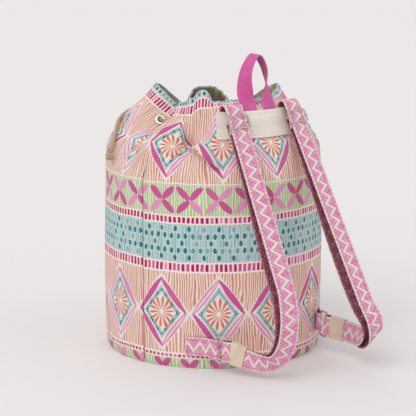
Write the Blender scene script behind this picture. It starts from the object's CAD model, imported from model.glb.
"""Looks of the drawstring bucket backpack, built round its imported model.

Metres, +Z up, strap side towards -Y. Angles on the wall are counted from the strap side, positive
towards +X, and a height on the wall is measured along the cloth from the bottom edge.
"""

import math

import bpy
import numpy as np
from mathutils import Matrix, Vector, noise


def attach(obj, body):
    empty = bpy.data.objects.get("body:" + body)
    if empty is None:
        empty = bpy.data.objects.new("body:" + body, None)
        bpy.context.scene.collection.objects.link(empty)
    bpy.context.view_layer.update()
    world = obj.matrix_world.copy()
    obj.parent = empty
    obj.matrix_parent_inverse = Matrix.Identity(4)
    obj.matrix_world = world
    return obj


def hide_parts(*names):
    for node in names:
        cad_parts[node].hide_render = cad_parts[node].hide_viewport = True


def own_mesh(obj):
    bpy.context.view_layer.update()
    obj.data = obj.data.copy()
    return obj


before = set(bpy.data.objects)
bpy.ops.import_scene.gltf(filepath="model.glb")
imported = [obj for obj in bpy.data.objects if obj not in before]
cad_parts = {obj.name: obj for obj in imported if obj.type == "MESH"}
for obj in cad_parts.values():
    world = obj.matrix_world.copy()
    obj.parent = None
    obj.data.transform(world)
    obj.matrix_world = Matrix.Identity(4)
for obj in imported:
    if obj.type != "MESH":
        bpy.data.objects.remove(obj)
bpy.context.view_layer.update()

# Camera
CAMERA_TURN = -33.0
CAMERA_RISE = 11.5
CAMERA_DISTANCE = 2.6
CAMERA_AIM = (0.0, 0.0, 0.190)
CAMERA_LENS = 160.6
CAMERA_SHIFT = -5 / 416

# Clearance between pieces that touch
GAP = 0.0003

# Wall and base
BODY_RADIUS = 0.150
BODY_BELLY = 0.0015
BOTTOM_TURN = 0.003
BOTTOM_TURN_HEIGHT = 0.012
SHOULDER_HEIGHT = 0.255
CANVAS_THICKNESS = 0.0012
LINING_THICKNESS = 0.0008
BASE_THICKNESS = 0.0025
BASE_LINING_THICKNESS = 0.0012
SEAM_ANGLE = 72.0
RIM_HEIGHT = 0.389

# Gathered mouth: (height along the cloth, radius, height above the floor) up the crest of a lobe,
# up a deep fold, and up the flat back under the yoke
SHOULDER = (0.255, 0.1500, 0.2540)
CREST = (
    SHOULDER,
    (0.285, 0.1460, 0.2835),
    (0.327, 0.1245, 0.3180),
    (0.362, 0.0990, 0.3440),
    (0.389, 0.0835, 0.3640),
)
FOLD = (
    SHOULDER,
    (0.283, 0.1350, 0.2790),
    (0.315, 0.1060, 0.2980),
    (0.352, 0.0680, 0.3110),
    (0.389, 0.0400, 0.3250),
)
BACK = (
    SHOULDER,
    (0.285, 0.1430, 0.2830),
    (0.313, 0.1300, 0.3080),
    (0.350, 0.1170, 0.3410),
    (0.370, 0.1020, 0.3495),
    (0.389, 0.0850, 0.3530),
)
# The same beside the neck
BACK_EDGE = (*BACK[:4], (0.370, 0.1030, 0.3505), (0.389, 0.0930, 0.3535))
# A neck that stands up behind a ridge
NECK = (
    SHOULDER,
    (0.2760, 0.1475, 0.2748),
    (0.2920, 0.1400, 0.2900),
    (0.3030, 0.1322, 0.2975),
    (0.3120, 0.1235, 0.3000),
    (0.3211, 0.1172, 0.3062),
    (0.3321, 0.1125, 0.3160),
    (0.3601, 0.1040, 0.3425),
    (0.3890, 0.0950, 0.3700),
)
# The same beside the pinch, where the ridge dips
PINCH = (
    SHOULDER,
    (0.2750, 0.1460, 0.2730),
    (0.2880, 0.1380, 0.2850),
    (0.2990, 0.1280, 0.2895),
    (0.3099, 0.1190, 0.2900),
    (0.3211, 0.1130, 0.2950),
    (0.3341, 0.1090, 0.3060),
    (0.3601, 0.1000, 0.3320),
    (0.3890, 0.0905, 0.3570),
)
# A puff whose top tucks in beside the neck
PUFF = (
    SHOULDER,
    (0.2819, 0.1460, 0.2809),
    (0.3040, 0.1370, 0.3000),
    (0.3240, 0.1240, 0.3150),
    (0.3379, 0.1130, 0.3223),
    (0.3480, 0.1050, 0.3264),
    (0.3621, 0.0956, 0.3331),
    (0.3890, 0.0808, 0.3491),
)
# Round the mouth: angle, way up, whether it stands out, and how far the rim stands out and up
IN_LINE = (0.0, 0.0)
TURNS = (
    (-163.0, FOLD, 0, *IN_LINE),
    (-123.0, CREST, 1, -0.006, 0.002),
    (-88.0, FOLD, 0, *IN_LINE),
    (-65.0, PUFF, 1, *IN_LINE),
    (-51.0, PINCH, 0, *IN_LINE),
    (-41.0, NECK, 1, *IN_LINE),
    (-31.0, BACK_EDGE, 0, *IN_LINE),
    (-21.0, BACK, 0, *IN_LINE),
    (28.0, BACK, 0, *IN_LINE),
    (59.0, CREST, 1, 0.006, 0.001),
    (107.0, FOLD, 0, *IN_LINE),
    (157.0, CREST, 1, -0.006, -0.012),
    (197.0, FOLD, 0, *IN_LINE),
)
LOBE_FULLNESS = 0.45

# Eyelets, in pairs beside the three deep folds. The cloth lies flat round each.
EYELET_HEIGHT = 0.353
EYELET_COUNT = 6
EYELET_CUT = 0.0052
EYELET_FLANGE_THICKNESS = 0.0010
EYELET_CLEARANCE = 0.0007
EYELET_FLAT = 0.0130
EYELET_FLAT_EDGE = 0.0270

# Yoke patch: its top edge stands off the wall, round the strap and handle ends tucked behind it
YOKE_WIDTH = 0.120
YOKE_BOTTOM = 0.313
YOKE_TOP = 0.350
YOKE_THICKNESS = 0.0012
YOKE_REST = 0.0007
YOKE_STAND_OFF = 0.0036
YOKE_RISE = 0.012
TUCK_DEPTH = 0.010
# Only the cloth has these: where its hem ends, its stitches, and where it lies full
YOKE_HEM_STEP = (0.0052, 0.0066)
YOKE_STITCHES = 0.0040
YOKE_FULL = (-0.0435, 0.0335)

# Handle
HANDLE_WIDTH = 0.022
HANDLE_THICKNESS = 0.0018
HANDLE_LEGS = 0.032
HANDLE_MIDDLE = -0.001
HANDLE_TOP = 0.4165
HANDLE_LEAN = 0.011

# Shoulder straps: each goes from the yoke down through the slider, round its ring, and back up
STRAP_WIDTH = 0.028
STRAP_THICKNESS = 0.0018
STRAP_SPACING = 0.088
STRAP_FOLD_RADIUS = 0.0070
STRAP_LEAD_IN = 0.030
STRAP_LANDING = 0.014
RETURN_SLACK = 0.0120

# Sliders
SLIDER_WIRE = 0.0025
SLIDER_DISTANCE = 0.0200
SLIDER_TAIL = 0.0140
SLIDER_NEAR = 0.004
TAIL_SINKS = 0.003

# Rings, tabs and end patches
RING_WIRE = 0.0030
RING_LENGTH = 0.0150
RING_LOOP_ROOM = 0.0020
TAB_WIDTH = 0.026
TAB_THICKNESS = 0.0014
TAB_LOOP_ROOM = 0.0004
TAB_LIFT = (0.0, 0.0, 0.0006, 0.0016)
STRAP_STEP = 0.0052
TAIL_STEPS = 5
PATCH_THICKNESS = 0.0008
PATCH_STEPS = (2, 6)
PATCH_ROOM = 0.0007

# Drawstring
CORD_DIAMETER = 0.0050
CORD_INSIDE_ROOM = 0.0035
CORD_SIDES = 16
# Strands each way round, how fast they wind in radians for a metre, and how far they stand out
CORD_STRANDS = 4
CORD_TWIST = 1500
CORD_RIDGE = 0.07
KNOT_DIAMETER = 0.0125
# The pulled cord in a knot, as a share of its own thickness
KNOT_TIGHT = 0.92

LEFT, RIGHT = -1, 1
SIDES = ((LEFT, "left"), (RIGHT, "right"))
EYELET_PLANES = []

# Each strap's straight stretch ends at the first point. Then come points and face directions down
# to the last one before the ring.
STRAP_BENDS = {
    LEFT: (
        ((-0.0425, -0.2400, 0.1250), (0.00, -0.87, 0.49)),
        ((-0.0430, -0.2480, 0.0850), (-0.05, -0.99, 0.10)),
        ((-0.0440, -0.2410, 0.0500), (-0.15, -0.97, -0.15)),
        ((-0.0490, -0.2230, 0.0280), (-0.30, -0.90, -0.30)),
        ((-0.0610, -0.1960, 0.0230), (-0.65, -0.72, -0.20)),
    ),
    RIGHT: (
        ((0.0725, -0.2580, 0.1000), (0.12, -0.86, 0.49)),
        ((0.0800, -0.2680, 0.0760), (0.15, -0.98, 0.05)),
        ((0.0880, -0.2600, 0.0520), (0.35, -0.85, -0.40)),
        ((0.0960, -0.2330, 0.0385), (0.70, -0.35, -0.60)),
        ((0.1005, -0.2000, 0.0380), (0.95, -0.05, -0.25)),
    ),
}
# Each ring: the middle of the bar that the strap goes round, the direction from there to the tab's
# bar, and the direction of the bars
RINGS = {
    LEFT: ((-0.0790, -0.1530, 0.0310), (-0.45, 0.89, 0.04), (0.0, -0.05, 1.0)),
    RIGHT: ((0.0905, -0.1490, 0.0410), (-0.08, 0.99, 0.03), (0.0, -0.05, 1.0)),
}
# Where each tab's layers lie on the wall, in degrees past the ring's bar: the sewn end, where the
# inner layer leaves the wall, and where the outer layer does
TAB_ROOTS = {LEFT: (15.0, 6.0, 6.0), RIGHT: (11.0, 2.0, 6.5)}

# The eyelets in the order of the cord, and the cloth angles of its places inside each lobe
EYELET_ORDER = (5, 0, 1, 2, 3, 4)
INSIDE_LANES = {
    (5, 0): (-141.0, -133.0, -124.0, -115.0, -108.0),
    (1, 2): (-62.0, -52.0, -42.0, -30.0, -17.0, 0.0, 17.0, 32.0, 46.0, 59.0, 71.0, 83.0),
    (3, 4): (130.0, 140.0, 150.0, 160.0, 170.0),
}
# The free ends lie on the outside of the cloth: its angle, height along it and distance off it. The
# last place is the middle of the knot.
END_LANES = {
    LEFT: (
        (-144.0, 0.346, 0.0042),
        (-134.0, 0.337, 0.0042),
        (-122.0, 0.322, 0.0042),
        (-111.0, 0.303, 0.0044),
        (-104.0, 0.287, 0.0058),
        (-101.0, 0.272, 0.0085),
    ),
    RIGHT: (
        (-177.0, 0.338, 0.0042),
        (-180.0, 0.312, 0.0042),
        (-182.0, 0.285, 0.0042),
        (-182.0, 0.255, 0.0045),
        (-181.0, 0.225, 0.0060),
        (-181.0, 0.208, 0.0085),
    ),
}
# Where the threaded run stops and a free end begins, above the cloth's outer face, and the free
# end's first places from there: how far out and how far aside
EYELET_END = 0.0035
CORD_LEAD = ((0.0, 0.0), (0.0030, 0.0), (0.0062, 0.0035), (0.0060, 0.0095))

SLIDE_RANGES = {LEFT: 0.21, RIGHT: 0.24}
# Left out of a return's length where its shortening is reckoned
SQUASH_ROOM = 0.010

# The shortest and longest steps along a soft piece's path
SHORTEST_STEP = 0.0004
WEBBING_STEP = 0.0022
SLEEVE_STEP = 0.0016
CORD_STEP = 0.0011

MATERIALS = {}
WORLD_LIGHT = 0.62
BACKDROP = (0.790, 0.768, 0.760)
FLOOR = (0.830, 0.812, 0.806)
FLOOR_RADIUS = 6.0
FLOOR_DROP = 0.0004


def make_camera():
    turn, rise = math.radians(CAMERA_TURN), math.radians(CAMERA_RISE)
    flat = math.cos(rise)
    away = Vector((math.sin(turn) * flat, -math.cos(turn) * flat, math.sin(rise)))
    data = bpy.data.cameras.new("camera")
    data.lens = CAMERA_LENS
    data.shift_x = CAMERA_SHIFT
    camera = bpy.data.objects.new("camera", data)
    camera.location = Vector(CAMERA_AIM) + away * CAMERA_DISTANCE
    camera.rotation_euler = (-away).to_track_quat("-Z", "Y").to_euler()
    bpy.context.scene.collection.objects.link(camera)
    bpy.context.scene.camera = camera


def sun(name, place, spread, strength):
    data = bpy.data.lights.new(name, "SUN")
    data.angle = math.radians(spread)
    data.energy = strength
    lamp = bpy.data.objects.new(name, data)
    lamp.rotation_euler = Vector(place).to_track_quat("Z", "Y").to_euler()
    bpy.context.scene.collection.objects.link(lamp)


def make_stage():
    scene = bpy.context.scene
    scene.view_settings.view_transform = "Standard"
    world = bpy.data.worlds.new("studio")
    scene.world = world
    world.use_nodes = True
    tree = world.node_tree
    light = tree.nodes["Background"]
    light.inputs["Color"].default_value = (0.96, 0.95, 0.95, 1)
    light.inputs["Strength"].default_value = WORLD_LIGHT
    shown = tree.nodes.new("ShaderNodeBackground")
    shown.inputs["Color"].default_value = (*BACKDROP, 1)
    shown.inputs["Strength"].default_value = 1.0
    path = tree.nodes.new("ShaderNodeLightPath")
    mix = tree.nodes.new("ShaderNodeMixShader")
    tree.links.new(path.outputs["Is Camera Ray"], mix.inputs[0])
    tree.links.new(light.outputs[0], mix.inputs[1])
    tree.links.new(shown.outputs[0], mix.inputs[2])
    tree.links.new(mix.outputs[0], tree.nodes["World Output"].inputs["Surface"])
    # Towards the viewer's left and above, with a soft fill from the right
    sun("key", (-1.7, -1.0, 1.9), 50, 1.25)
    sun("fill", (1.5, -1.6, 1.1), 70, 0.35)
    sun("back", (0.4, 1.4, 1.6), 60, 0.35)
    floor = mesh_object("floor", *flat_disc(FLOOR_RADIUS, -FLOOR_DROP))
    paint = Paint("studio_floor", 0.95)
    paint.colour = FLOOR
    paint.shader.inputs["Specular IOR Level"].default_value = 0.1
    give(floor, paint.done())


def flat_disc(radius, z, sides=96):
    turn = np.linspace(0, 2 * math.pi, sides, endpoint=False)
    points = [(radius * math.cos(a), radius * math.sin(a), z) for a in turn]
    return points, [tuple(range(sides))]


def mesh_object(name, points, faces, uv=None, sharp=50.0):
    mesh = bpy.data.meshes.new(name)
    mesh.from_pydata([tuple(p) for p in points], [], [tuple(f) for f in faces])
    if uv is not None:
        layer = mesh.uv_layers.new(name="cloth")
        loops = np.zeros(len(mesh.loops), dtype=np.int32)
        mesh.loops.foreach_get("vertex_index", loops)
        layer.data.foreach_set("uv", np.asarray(uv, np.float32)[loops].ravel())
    mesh.shade_smooth()
    mesh.set_sharp_from_angle(angle=math.radians(sharp))
    obj = bpy.data.objects.new(name, mesh)
    bpy.context.scene.collection.objects.link(obj)
    return obj


def give(obj, made):
    obj.data.materials.clear()
    obj.data.materials.append(made)


def colour(text):
    """A linear colour from its written sRGB form."""
    parts = [int(text[i : i + 2], 16) / 255 for i in (1, 3, 5)]
    return [p / 12.92 if p <= 0.04045 else ((p + 0.055) / 1.055) ** 2.4 for p in parts]


def set_number(tree, place, value):
    """Gives a socket a number, or links a Value to it."""
    if isinstance(value, Value):
        tree.links.new(value.socket, place)
    else:
        place.default_value = value


class Value:
    """A number in a material, with Python's operators adding the nodes."""

    def __init__(self, tree, socket):
        self.tree, self.socket = tree, socket

    def made(self, kind, *inputs, clamp=False):
        node = self.tree.nodes.new("ShaderNodeMath")
        node.operation = kind
        node.use_clamp = clamp
        for place, value in zip(node.inputs, (self, *inputs)):
            set_number(self.tree, place, value)
        return Value(self.tree, node.outputs[0])

    def __add__(self, other):
        return self.made("ADD", other)

    __radd__ = __add__

    def __sub__(self, other):
        return self.made("SUBTRACT", other)

    def __rsub__(self, other):
        return self.made("MULTIPLY_ADD", -1.0, other)

    def __mul__(self, other):
        return self.made("MULTIPLY", other)

    def __truediv__(self, other):
        return self.made("DIVIDE", other)

    def size(self):
        return self.made("ABSOLUTE")

    def sine(self):
        return self.made("SINE")

    def least(self, other):
        return self.made("MINIMUM", other)

    def most(self, other):
        return self.made("MAXIMUM", other)

    def over(self, edge, soft):
        """1 above the edge and 0 below it, with a soft step that wide."""
        return self.made("SUBTRACT", edge - soft / 2).made("DIVIDE", soft, clamp=True)

    def under(self, edge, soft):
        return 1 - self.over(edge, soft)

    def wave(self, period):
        """Swings between 0 and 1 once each period."""
        return (self * (2 * math.pi / period)).sine() * 0.5 + 0.5

    def there_and_back(self, period):
        """Goes evenly from 0 to 0.5 and back once each period."""
        return (self / period).made("PINGPONG", 0.5)

    def cell(self, period):
        """The number of the period that this lies in, and the place from that period's middle."""
        number = (self / period).made("ROUND")
        return number, self - number * period


class Paint:
    """The colour of a material, painted layer on layer."""

    def __init__(self, name, roughness=0.88, sheen=0.0):
        self.material = bpy.data.materials.new(name)
        self.material.use_nodes = True
        self.tree = self.material.node_tree
        self.shader = self.tree.nodes["Principled BSDF"]
        self.shader.inputs["Roughness"].default_value = roughness
        self.shader.inputs["Specular IOR Level"].default_value = 0.25
        self.shader.inputs["Sheen Weight"].default_value = sheen
        self.colour = None

    def node(self, kind):
        return self.tree.nodes.new(f"ShaderNode{kind}")

    def parts(self, socket, count):
        """A vector's parts, in millimetres."""
        parts = self.node("SeparateXYZ")
        self.tree.links.new(socket, parts.inputs[0])
        return [Value(self.tree, parts.outputs[i]) * 1000.0 for i in range(count)]

    def uv(self):
        """Place across and along the cloth."""
        node = self.node("UVMap")
        node.uv_map = "cloth"
        return self.parts(node.outputs[0], 2)

    def place(self):
        """The place in the object's own space."""
        return self.parts(self.node("TexCoord").outputs["Object"], 3)

    def vector(self, x, y, z=0.0):
        node = self.node("CombineXYZ")
        for place, value in zip(node.inputs, (x, y, z)):
            set_number(self.tree, place, value)
        return node.outputs[0]

    def noise(self, x, y, z=0.0, scale=1.0, detail=2.0):
        """Noise from 0 to 1, mostly near a half."""
        node = self.node("TexNoise")
        node.inputs["Scale"].default_value = scale
        node.inputs["Detail"].default_value = detail
        self.tree.links.new(self.vector(x, y, z), node.inputs["Vector"])
        return Value(self.tree, node.outputs[0])

    def chance(self, x, y=0.0):
        """A number from 0 to 1 that differs from cell to cell."""
        node = self.node("TexWhiteNoise")
        self.tree.links.new(self.vector(x, y), node.inputs["Vector"])
        return Value(self.tree, node.outputs[0])

    def put(self, value, place):
        """Gives a socket a written colour or a linear one, or links another socket to it."""
        if isinstance(value, str):
            value = colour(value)
        if isinstance(value, (list, tuple)):
            place.default_value = (*value, 1)
        else:
            self.tree.links.new(value, place)

    def blend(self, first, second, share):
        node = self.node("Mix")
        node.data_type = "RGBA"
        set_number(self.tree, node.inputs[0], share)
        self.put(first, node.inputs[6])
        self.put(second, node.inputs[7])
        return node.outputs[2]

    def over(self, paint, share):
        self.colour = self.blend(self.colour, paint, share)

    def done(self, height=None, depth=0.0004):
        """Links the colour and a bump of that height in metres."""
        self.put(self.colour, self.shader.inputs["Base Color"])
        if height is not None:
            bump = self.node("Bump")
            bump.inputs["Distance"].default_value = depth
            bump.inputs["Strength"].default_value = 1.0
            self.tree.links.new(height.socket, bump.inputs["Height"])
            self.tree.links.new(bump.outputs[0], self.shader.inputs["Normal"])
        return self.material


# ---------------------------------------------------------------- shapes shared with the solids


def unit(vectors):
    vectors = np.asarray(vectors, float)
    return vectors / np.linalg.norm(vectors, axis=-1, keepdims=True)


def lengths(path):
    """The distance along a path at each of its points."""
    steps = np.linalg.norm(np.diff(path, axis=0), axis=1)
    return np.concatenate([[0], np.cumsum(steps)])


def run_length(path):
    return float(np.linalg.norm(np.diff(path, axis=0), axis=1).sum())


def half_turn(centre, first, middle, radius, count):
    """Points and face directions half round a centre: from one direction through another."""
    turn = np.radians(np.linspace(0, 180, count))[:, None]
    faces = np.cos(turn) * first + np.sin(turn) * middle
    return centre + faces * radius, faces


def cloth_places(across, up):
    """The place across and along the cloth at each point of a grid."""
    return np.stack(np.broadcast_arrays(np.asarray(across)[None], np.asarray(up)[:, None]), -1)


def smooth_through(values, steps):
    """Catmull-Rom curve through rows of values, with that many steps to each stretch."""
    values = np.asarray(values, float)
    ends = np.vstack([2 * values[0] - values[1], values, 2 * values[-1] - values[-2]])
    found = []
    for i in range(len(values) - 1):
        a, b, c, d = ends[i : i + 4]
        for t in np.arange(steps) / steps:
            second = (2 * a - 5 * b + 4 * c - d) * t**2
            third = (3 * b - a - 3 * c + d) * t**3
            found.append(0.5 * (2 * b + (c - a) * t + second + third))
    return np.array([*found, values[-1]])


def body_profile(heights):
    """Radius of the straight wall below the shoulder."""
    share = np.clip(heights / SHOULDER_HEIGHT, 0, 1)
    turned = np.clip(1 - heights / BOTTOM_TURN_HEIGHT, 0, 1)
    return BODY_RADIUS + BODY_BELLY * np.sin(math.pi * share) - BOTTOM_TURN * turned**2


def way_up(turn, height):
    """Radius and height above the floor on one turn's way up, with its rim's own offset."""
    _, way, _, out, up = turn
    share = np.clip((height - SHOULDER_HEIGHT) / (RIM_HEIGHT - SHOULDER_HEIGHT), 0, 1) ** 2
    fine = smooth_through(way, 12)
    radius = np.interp(height, fine[:, 0], fine[:, 1]) + out * share
    return radius, np.interp(height, fine[:, 0], fine[:, 2]) + up * share


def wall_section(height):
    """Cloth angles in degrees once round from the first turn, and the wall's points there, at one
    height along the cloth. Between turns the angle runs evenly with the section's length."""
    marks = [turn[0] for turn in TURNS]
    angles = np.linspace(marks[0], marks[-1], 1441)
    if height <= SHOULDER_HEIGHT:
        radius = np.full_like(angles, body_profile(height))
        level = np.full_like(angles, height * CREST[0][2] / SHOULDER_HEIGHT)
    else:
        found = np.array([way_up(turn, height) for turn in TURNS])
        stands = np.array([turn[2] for turn in TURNS])
        phase = np.interp(angles, marks, range(len(TURNS)))
        first = np.minimum(phase.astype(int), len(TURNS) - 2)
        rise = (1 - np.cos(math.pi * (phase - first))) / 2
        rise = rise + (stands[first + 1] - stands[first]) * rise * (1 - rise) * LOBE_FULLNESS
        radius, level = (found[first] + (found[first + 1] - found[first]) * rise[:, None]).T
    turn = np.radians(angles)
    points = np.stack([radius * np.sin(turn), -radius * np.cos(turn), level], -1)
    length = lengths(points)
    return np.interp(length, np.interp(marks, angles, length), marks), points


def draped_face(angles, heights):
    """Points of the canvas's outer face, one row for each height, before the eyelets flatten it."""
    start = TURNS[0][0]
    wrapped = (np.asarray(angles, float) - start) % 360 + start
    rows = []
    for height in heights:
        cloth, points = wall_section(height)
        rows.append(np.stack([np.interp(wrapped, cloth, points[:, i]) for i in range(3)], -1))
    return np.array(rows)


def eyelet_planes():
    """Centre and outward direction of the canvas at each eyelet, from where the eyelets are."""
    for number in range(1, EYELET_COUNT + 1):
        points = np.array([v.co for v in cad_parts[f"eyelet_{number}"].data.vertices])
        centre = (points.max(axis=0) + points.min(axis=0)) / 2
        out = np.linalg.svd(points - points.mean(axis=0))[2][2]
        out = out if out @ (centre - (0, 0, 0.25)) > 0 else -out
        EYELET_PLANES.append((centre + out * cloth_stack() / 2, out))


def outer_face(angles, heights):
    """Points of the canvas's outer face, one row for each height."""
    points = draped_face(angles, heights)
    away = [np.linalg.norm(points - centre, axis=-1) for centre, _ in EYELET_PLANES]
    away = np.stack(away) + 0.0001
    share = np.clip((EYELET_FLAT_EDGE - away) / (EYELET_FLAT_EDGE - EYELET_FLAT), 0, 1)
    share = share * share * (3 - 2 * share) * away**-8 / (away**-8).sum(axis=0)
    moves = [((points - centre) @ out)[..., None] * out for centre, out in EYELET_PLANES]
    return points - (share[..., None] * np.array(moves)).sum(axis=0)


def wall_normals(angles, heights):
    angles = np.asarray(angles, float)
    heights = np.asarray(heights, float)
    across = outer_face(angles + 0.6, heights) - outer_face(angles - 0.6, heights)
    low = np.clip(heights - 0.001, 0, RIM_HEIGHT - 0.002)
    up = outer_face(angles, low + 0.002) - outer_face(angles, low)
    return unit(np.cross(across, up))


def wall_points(angles, heights, inwards):
    """The wall's outer face moved inwards by a distance, or by one distance for each height."""
    inwards = np.broadcast_to(np.asarray(inwards, float), (len(heights),))
    return outer_face(angles, heights) - wall_normals(angles, heights) * inwards[:, None, None]


def cloth_stack():
    """Thickness of canvas and lining together."""
    return CANVAS_THICKNESS + GAP + LINING_THICKNESS


def strip_frames(path, normals):
    """The path, its width direction and its outward face at each station."""
    path = np.asarray(path, float)
    tangents = unit(np.gradient(path, axis=0))
    across = unit(np.cross(tangents, normals))
    return path, across, unit(np.cross(across, tangents))


def turned(vector, degrees):
    """A vector turned about the upright axis."""
    c, s = math.cos(math.radians(degrees)), math.sin(math.radians(degrees))
    x, y, z = vector
    return np.array([c * x - s * y, s * x + c * y, z])


def angle_at(x, height):
    """The cloth angle on the strap side where the wall stands at x."""
    angles = np.linspace(-50, 50, 201)
    return float(np.interp(x, outer_face(angles, [height])[0, :, 0], angles))


def tucked_end(x, thickness):
    """Stations of a webbing end that lies on the wall behind the yoke, the wall's outward direction
    at each, and the way up where it comes out."""
    heights = np.linspace(YOKE_TOP - TUCK_DEPTH, YOKE_TOP + 0.001, 3)
    angle = angle_at(x, YOKE_TOP)
    path = wall_points([angle], heights, -(GAP + thickness / 2))[:, 0]
    out = wall_normals([angle], heights)[:, 0]
    return path, out, unit(path[-1] - path[-2])


def make_handle():
    """The webbing handle: its ends lie behind the yoke, and each leg twists a quarter turn."""
    half = HANDLE_LEGS / 2
    ends = []
    for side in (LEFT, RIGHT):
        path, out, _ = tucked_end(HANDLE_MIDDLE + side * half, HANDLE_THICKNESS)
        ends.append(np.hstack([path, out]))
    left, right = ends
    foot = np.array(left[-1][:3])
    rise = HANDLE_TOP - foot[2]
    middle, y = HANDLE_MIDDLE, foot[1] + HANDLE_LEAN
    legs = (
        ((-half - 0.001, y - 0.003, 0.22), (-0.30, -0.95, 0.15)),
        ((-half - 0.001, y, 0.50), (-0.85, -0.50, 0.05)),
        ((-half * 0.80, y, 0.78), (-0.92, -0.15, 0.38)),
    )
    loop = [(middle + x, depth, foot[2] + rise * z, *n) for (x, depth, z), n in legs]
    top = (middle, y, HANDLE_TOP, 0, 0, 1)
    back = [(2 * middle - x, depth, z, -a, b, c) for x, depth, z, a, b, c in loop[::-1]]
    keys = smooth_through([*left, *loop, top, *back, *right[::-1]], 4)
    ribbon("top_handle", keys[:, :3], keys[:, 3:], HANDLE_WIDTH, HANDLE_THICKNESS)


def ring_frame(side):
    """The strap bar's middle, the direction to the tab's bar, the bars' direction and the face away
    from the wall."""
    middle, to_tab, bar = (np.array(v) for v in RINGS[side])
    bar = unit(bar)
    to_tab = unit(to_tab - bar * (to_tab @ bar))
    out = np.cross(bar, to_tab)
    return middle, to_tab, bar, out if out @ middle > 0 else -out


def strap_top(side):
    """Stations from the end tucked behind the yoke, over its top edge and round to the straight
    stretch, with the straight stretch's direction."""
    path, out, up = tucked_end(side * STRAP_SPACING / 2, STRAP_THICKNESS)
    target = np.array(STRAP_BENDS[side][0][0])
    start, along = path[-1], unit(target - path[-1])
    heading = math.degrees(math.atan2(out[-1][0], -out[-1][1]))
    flat_out = turned((0, -1, 0), heading)
    lean = math.atan2(-(up @ flat_out), up[2])
    for _ in range(8):
        swing = math.degrees(math.atan2(along[0], -along[1])) - heading
        fall = math.atan2(math.hypot(along[0], along[1]), -along[2])
        full = math.pi - fall + lean
        steps = 10
        points, faces = [start], []
        for i in range(steps + 1):
            share = i / steps
            slope = -lean + full * share
            direction = turned((0, -1, 0), heading + swing * share)
            faces.append(-direction * math.cos(slope) + np.array([0, 0, 1]) * math.sin(slope))
            middle = slope + full / steps / 2
            step = direction * math.sin(middle) + np.array([0, 0, 1]) * math.cos(middle)
            points.append(points[-1] + step * STRAP_FOLD_RADIUS * full / steps)
        points.pop()
        along = unit(target - points[-1])
    path = np.array([*path[:-1], *points])
    faces = np.array([*(-out[:-1]), *faces])
    return path, faces, along


def strap_run(side):
    """Stations of the outer run from the yoke to the ring, how many come before its straight
    stretch, and that stretch's direction and outward face."""
    path, faces, along = strap_top(side)
    begin = len(path)
    across = unit(np.cross(along, [0, 0, 1]))
    out = np.cross(across, along)
    out = out if out[2] > 0 else -out
    middle, to_tab, _, ring_out = ring_frame(side)
    loop = RING_WIRE / 2 + RING_LOOP_ROOM + STRAP_THICKNESS / 2
    straight_end = np.array(STRAP_BENDS[side][0][0])
    keys = [(*(straight_end - along * STRAP_LEAD_IN), *out), (*straight_end, *out)]
    keys += [(*p, *n) for p, n in STRAP_BENDS[side][1:]]
    landing = middle + ring_out * loop
    keys += [(*(landing - to_tab * STRAP_LANDING), *ring_out), (*landing, *ring_out)]
    bends = smooth_through(keys, 5)[5:]
    straight = np.linspace(path[-1], straight_end, 6)[1:-1]
    path = np.array([*path, *straight, *bends[:, :3]])
    faces = np.array([*faces, *[out] * len(straight), *bends[:, 3:]])
    return path, unit(faces), begin, along, out


def behind(path, faces, distance):
    """The same stations moved behind the strip's face."""
    path, _, out = strip_frames(path, faces)
    return path - out * np.asarray(distance, float).reshape(-1, 1)


def resampled(path, faces, distances):
    """Stations at given distances along the strip."""
    rows = np.hstack([path, faces])
    found = np.stack([np.interp(distances, lengths(path), rows[:, i]) for i in range(6)], -1)
    return found[:, :3], unit(found[:, 3:])


def strap_stations(path, begin):
    """Distances back from the ring: even steps through the bends, then wide ones."""
    total, straight = run_length(path), run_length(path[:begin])
    bends = run_length(path[begin + 3 :])
    near = np.arange(0, bends, STRAP_STEP)
    far = np.linspace(near[-1], total - straight, 7)[1:]
    return np.concatenate([near, far])


def make_strap(side, word):
    """One shoulder strap: the outer run with its end round the ring, the return run up to the
    slider, and the cream patch that holds the two together at the ring."""
    path, faces, begin = strap_run(side)[:3]
    total = run_length(path)
    stations = strap_stations(path, begin)
    low, low_faces = resampled(path, faces, total - stations)
    middle, to_tab, _, ring_out = ring_frame(side)
    radius = RING_WIRE / 2 + RING_LOOP_ROOM + STRAP_THICKNESS / 2
    layers = STRAP_THICKNESS + GAP
    wrap, wrap_faces = half_turn(middle, ring_out, to_tab, radius, 9)
    share = np.clip(stations / stations[TAIL_STEPS], 0, 1)
    apart = layers + (2 * radius - layers) * (1 - share) ** 2 * (1 + 2 * share)
    doubled = behind(low[::-1], low_faces[::-1], apart[::-1])[::-1]
    tail = doubled[1 : TAIL_STEPS + 1]
    tail_faces = -low_faces[1 : TAIL_STEPS + 1]
    outer_run = [*path[: begin - 1], *low[::-1], *wrap[1:], *tail]
    outer_faces = [*faces[: begin - 1], *low_faces[::-1], *wrap_faces[1:], *tail_faces]
    ribbon(f"shoulder_strap_{word}", outer_run, outer_faces, STRAP_WIDTH, STRAP_THICKNESS)
    make_return(side, word, path, faces, stations, run_length(path[:begin]) + SLIDER_DISTANCE)
    first, last = PATCH_STEPS
    low_path, across, low_out = strip_frames(low[::-1], low_faces[::-1])
    centre = low_path - low_out * apart[::-1, None] / 2
    rows = slice(len(low) - 1 - last, len(low) - first)
    around = 2 * PATCH_ROOM + 2 * PATCH_THICKNESS
    sleeve(
        f"strap_patch_{word}",
        centre[rows],
        across[rows],
        low_out[rows],
        STRAP_WIDTH + around,
        apart[::-1][rows] + STRAP_THICKNESS + around,
        PATCH_THICKNESS,
    )


def slider_bar_depth():
    """How far the slider's middle bar lies behind the middle of the strap."""
    return STRAP_THICKNESS * 1.5 + 2 * GAP + SLIDER_WIRE / 2


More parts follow.
